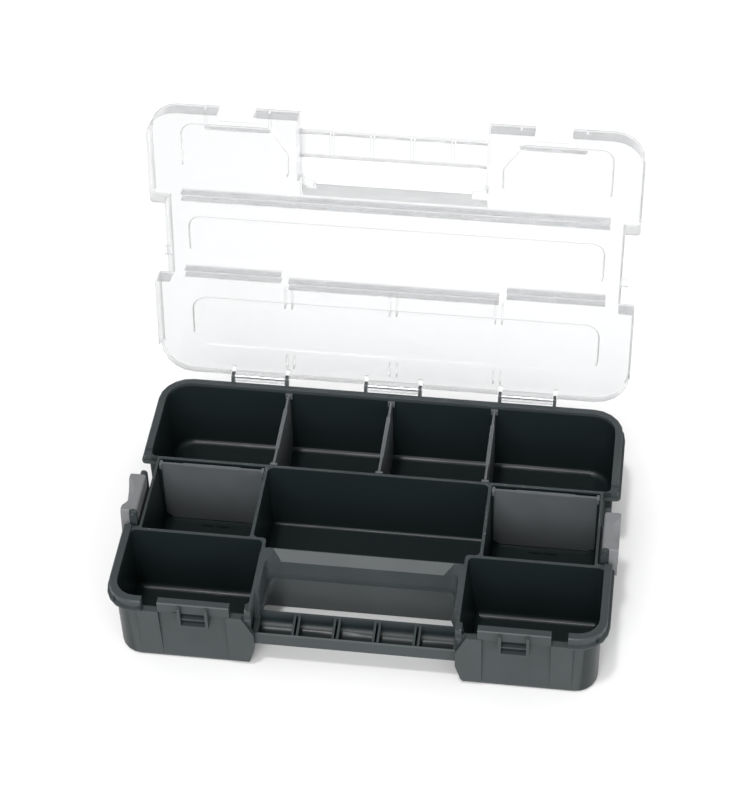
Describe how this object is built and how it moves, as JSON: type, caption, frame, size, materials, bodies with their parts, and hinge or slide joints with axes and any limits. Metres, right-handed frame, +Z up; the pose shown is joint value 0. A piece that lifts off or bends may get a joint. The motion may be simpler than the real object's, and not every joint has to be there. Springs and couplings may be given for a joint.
{
  "type": "parts organizer",
  "caption": "Compartment tray with a front grip bar, lift-out dividers, side latches and a clear hinged lid standing open.",
  "frame": {"origin": "centre of the tray's underside, on the surface it stands on", "axes": "+X to the right, +Y to the back, where the lid is hinged, +Z up"},
  "size_m": [0.3824, 0.2938, 0.3144],
  "materials": {
    "tray_plastic": "moulded polypropylene, fine satin texture",
    "clear_plastic": "clear moulded plastic, glossy",
    "latch_plastic": "moulded plastic, light grey, satin",
    "divider_plastic": "moulded plastic, mid grey, satin",
    "steel": "bright drawn wire"
  },
  "bodies": {
    "tray": {"base_tray": "tray_plastic", "hinge_pin_left": "steel", "hinge_pin_centre": "steel", "hinge_pin_right": "steel", "latch_pin_left": "steel", "latch_pin_right": "steel"},
    "lid": {"lid": "clear_plastic"},
    "latch_left": {"side_latch_left": "latch_plastic"},
    "latch_right": {"side_latch_right": "latch_plastic"},
    "body_divider_rear_left": {"divider_rear_left": "divider_plastic"},
    "body_divider_rear_centre": {"divider_rear_centre": "divider_plastic"},
    "body_divider_rear_right": {"divider_rear_right": "divider_plastic"},
    "body_divider_side_left": {"divider_side_left": "divider_plastic"},
    "body_divider_side_right": {"divider_side_right": "divider_plastic"}
  },
  "joints": [
    {"name": "lid_hinge", "type": "hinge", "parent": "tray", "child": "lid", "pos_m": [0, 0.1241, 0.0701], "axis": [-1, 0, 0], "range_deg": [-99.4, 0]},
    {"name": "latch_left_swing", "type": "hinge", "parent": "tray", "child": "latch_left", "pos_m": [-0.1809, 0, 0.074], "axis": [0, 1, 0], "range_deg": [0, 90]},
    {"name": "latch_right_swing", "type": "hinge", "parent": "tray", "child": "latch_right", "pos_m": [0.1809, 0, 0.074], "axis": [0, -1, 0], "range_deg": [0, 90]},
    {"name": "divider_rear_left_lift", "type": "slide", "parent": "tray", "child": "body_divider_rear_left", "axis": [0, 0, 1], "range_m": [0, 0.065]},
    {"name": "divider_rear_centre_lift", "type": "slide", "parent": "tray", "child": "body_divider_rear_centre", "axis": [0, 0, 1], "range_m": [0, 0.065]},
    {"name": "divider_rear_right_lift", "type": "slide", "parent": "tray", "child": "body_divider_rear_right", "axis": [0, 0, 1], "range_m": [0, 0.065]},
    {"name": "divider_side_left_lift", "type": "slide", "parent": "tray", "child": "body_divider_side_left", "axis": [0, 0, 1], "range_m": [0, 0.065]},
    {"name": "divider_side_right_lift", "type": "slide", "parent": "tray", "child": "body_divider_side_right", "axis": [0, 0, 1], "range_m": [0, 0.065]}
  ]
}
